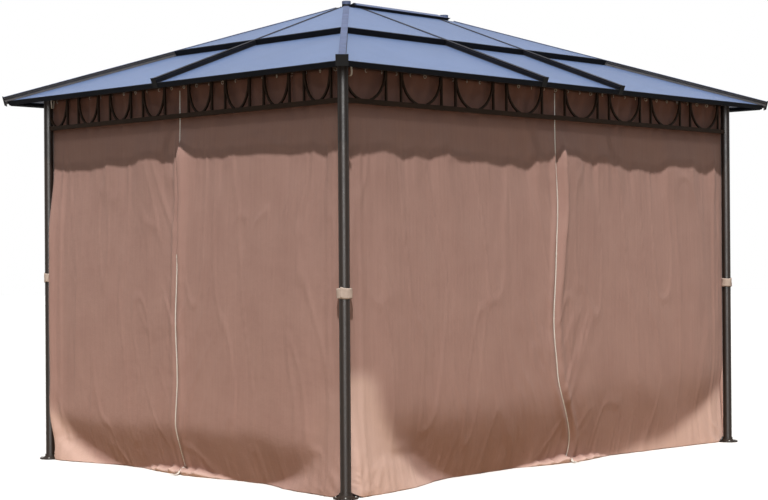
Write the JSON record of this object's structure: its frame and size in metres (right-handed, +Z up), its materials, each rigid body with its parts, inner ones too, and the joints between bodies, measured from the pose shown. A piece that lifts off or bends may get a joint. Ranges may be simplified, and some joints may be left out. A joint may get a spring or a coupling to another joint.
{
  "type": "hardtop garden gazebo",
  "caption": "Hardtop garden gazebo: dark metal frame on round posts, scalloped frieze, two-tier hipped roof of tinted sheet, and zipped curtains closing every side",
  "frame": {"origin": "on the ground at the middle of the plan, level with the undersides of the feet", "axes": "+X along the ridge and the long sides, +Z up, the front long side facing -Y"},
  "size_m": [4.0072, 3.0972, 2.8583],
  "materials": {
    "powder_coat": "satin",
    "roof_beam": "satin",
    "bright_strip": "satin",
    "cast_foot": "satin",
    "end_cap": "matte",
    "track": "satin",
    "roof_sheet": "gloss",
    "curtain_cloth": "matte",
    "tie_cloth": "matte"
  },
  "bodies": {
    "root": {"post_front_left": "powder_coat", "foot_front_left": "cast_foot", "hip_front_left": "roof_beam", "post_front_right": "powder_coat", "foot_front_right": "cast_foot", "hip_front_right": "roof_beam", "post_back_left": "powder_coat", "foot_back_left": "cast_foot", "hip_back_left": "roof_beam", "post_back_right": "powder_coat", "foot_back_right": "cast_foot", "hip_back_right": "roof_beam", "eave_front": "roof_beam", "purlins_front": "roof_beam", "rafters_front": "roof_beam", "roof_panels_front": "roof_sheet", "frieze_front": "powder_coat", "front_curtain_left_half": "curtain_cloth", "front_curtain_right_half": "curtain_cloth", "eave_right": "roof_beam", "purlins_right": "roof_beam", "rafters_right": "roof_beam", "roof_panels_right": "roof_sheet", "frieze_right": "powder_coat", "right_curtain_left_half": "curtain_cloth", "right_curtain_right_half": "curtain_cloth", "eave_back": "roof_beam", "purlins_back": "roof_beam", "rafters_back": "roof_beam", "roof_panels_back": "roof_sheet", "frieze_back": "powder_coat", "back_curtain_left_half": "curtain_cloth", "back_curtain_right_half": "curtain_cloth", "eave_left": "roof_beam", "purlins_left": "roof_beam", "rafters_left": "roof_beam", "roof_panels_left": "roof_sheet", "frieze_left": "powder_coat", "left_curtain_left_half": "curtain_cloth", "left_curtain_right_half": "curtain_cloth", "roof_trim": "bright_strip", "ridge": "roof_beam", "ridge_hubs": "roof_beam", "beam_end_caps": "end_cap", "post_seats": "powder_coat", "curtain_tracks": "track", "tie_bands": "tie_cloth"}
  },
  "joints": []
}
